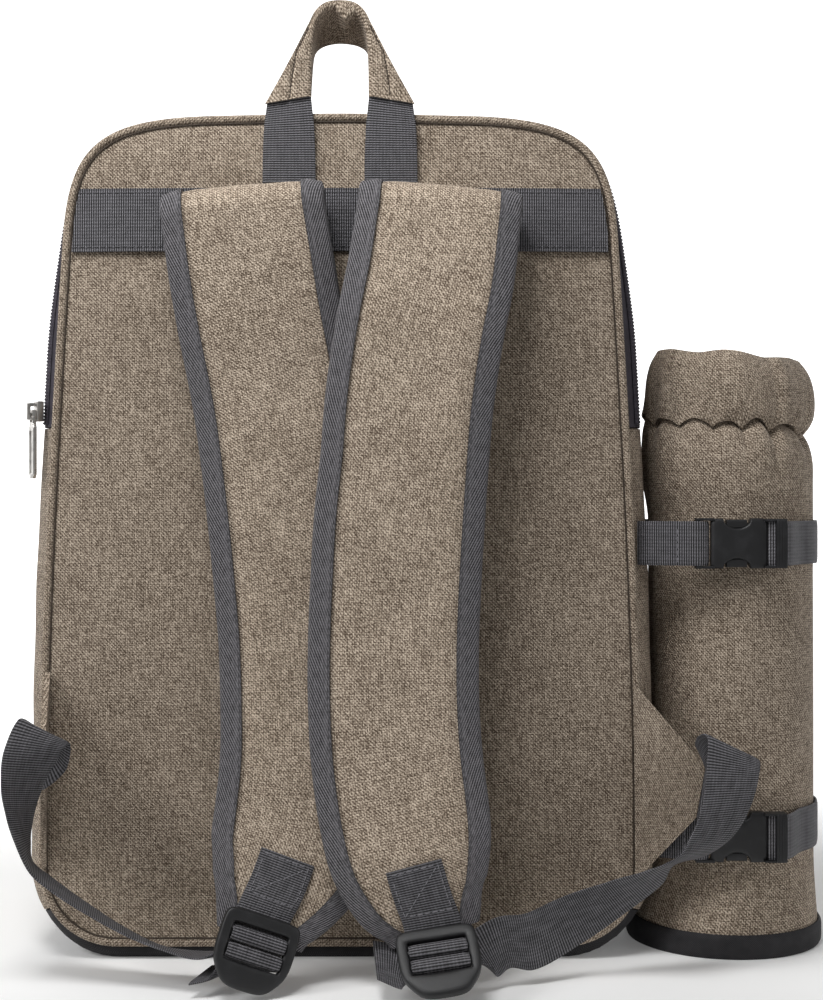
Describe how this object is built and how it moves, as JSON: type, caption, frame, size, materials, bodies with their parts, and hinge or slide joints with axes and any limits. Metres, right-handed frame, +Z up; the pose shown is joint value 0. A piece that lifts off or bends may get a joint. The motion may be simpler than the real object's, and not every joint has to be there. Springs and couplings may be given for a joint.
{
  "type": "picnic backpack",
  "caption": "Boxy cloth picnic backpack standing upright, with padded shoulder straps, a grab handle, a zip over the top and a gathered bottle pouch strapped to its side.",
  "frame": {"origin": "on the floor, in the middle of the flat base of the bag", "axes": "+Z up, -Y out of the worn side with the shoulder straps, +X towards the bottle pouch"},
  "size_m": [0.3994, 0.2617, 0.4632],
  "materials": {
    "cloth": "melange plain weave, matte",
    "webbing": "ribbed woven webbing",
    "binding": "herringbone woven tape",
    "zip_tape": "woven zip tape with a moulded coil",
    "base_cloth": "dark plain cloth",
    "buckle_plastic": "fine-grained moulded plastic",
    "nickel": "polished nickel plate"
  },
  "bodies": {
    "bag": {"side_panel_right": "cloth", "side_panel_left": "cloth", "top_gusset": "cloth", "zip_tape": "zip_tape", "zip_coil": "zip_tape", "bottom_panel": "base_cloth", "back_piping": "cloth", "front_piping": "cloth", "back_panel": "cloth", "front_panel": "cloth", "webbing_band": "webbing", "handle_webbing_left": "webbing", "handle_webbing_right": "webbing", "handle_sleeve": "cloth", "shoulder_strap_left": "cloth", "strap_binding_left_outer": "binding", "strap_binding_left_inner": "binding", "shoulder_strap_right": "cloth", "strap_binding_right_outer": "binding", "strap_binding_right_inner": "binding", "ladder_lock_left": "buckle_plastic", "strap_tab_left": "webbing", "adjuster_webbing_left": "webbing", "ladder_lock_right": "buckle_plastic", "strap_tab_right": "webbing", "adjuster_webbing_right": "webbing", "wing_left": "cloth", "wing_right": "cloth", "bottle_pouch": "cloth", "pouch_base": "base_cloth", "pouch_base_binding": "base_cloth", "pouch_strap_upper_bag": "webbing", "pouch_strap_upper_round": "webbing", "pouch_buckle_upper_socket": "buckle_plastic", "pouch_buckle_upper_plug": "buckle_plastic", "pouch_strap_lower_bag": "webbing", "pouch_strap_lower_round": "webbing", "pouch_buckle_lower_socket": "buckle_plastic", "pouch_buckle_lower_plug": "buckle_plastic", "zip_slider": "nickel"},
    "zip_pull": {"zip_pull": "nickel"}
  },
  "joints": [
    {"name": "zip_pull_swing", "type": "hinge", "parent": "bag", "child": "zip_pull", "pos_m": [-0.15182, -0.07434, 0.26654], "axis": [-0.4608, 0.8875, 0], "range_deg": [0, 150]}
  ]
}
